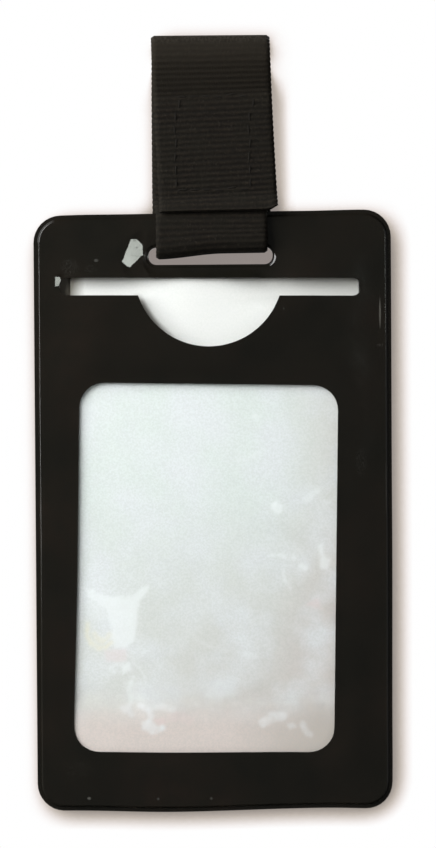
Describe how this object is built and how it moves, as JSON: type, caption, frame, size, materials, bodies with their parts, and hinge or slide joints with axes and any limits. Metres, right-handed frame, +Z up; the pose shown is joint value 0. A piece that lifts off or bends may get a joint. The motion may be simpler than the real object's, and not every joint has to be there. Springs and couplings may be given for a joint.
{
  "type": "badge holder",
  "caption": "Upright two-sided vinyl pouch for one ID card, with clear windows, a wide card mouth with a thumb notch, and a sewn webbing strap that ends in a loop for a hook.",
  "frame": {"origin": "inside the strap's top loop, at the middle of its crown, where a hook bears", "axes": "+Z up along the strap, the face with the card's mouth looks towards -Y, +X to the right as seen from that face"},
  "size_m": [0.0666, 0.0084, 0.145],
  "materials": {
    "vinyl": "semi-gloss soft vinyl",
    "film": "clear, glossy, slightly rippled",
    "card": "satin white",
    "webbing": "ribbed black webbing",
    "thread": "black sewing thread"
  },
  "bodies": {
    "strap": {"strap_upper": "webbing", "strap_inner_end": "webbing", "strap_free_end": "webbing", "stitching_front": "thread", "stitching_back": "thread"},
    "pouch": {"front_cover": "vinyl", "back_cover": "vinyl", "front_window": "film", "back_window": "film", "strap_band_loop": "webbing"},
    "card": {"card": "card"}
  },
  "joints": [
    {"name": "holder_swing", "type": "hinge", "parent": "strap", "child": "pouch", "pos_m": [0, 0, -0.0304], "axis": [1, 0, 0], "range_deg": [-90, 90], "deforming": ["strap_band_loop", "strap_free_end"]},
    {"name": "card_slide", "type": "slide", "parent": "pouch", "child": "card", "axis": [0, 0, -1], "range_m": [0, 0.0126]}
  ]
}
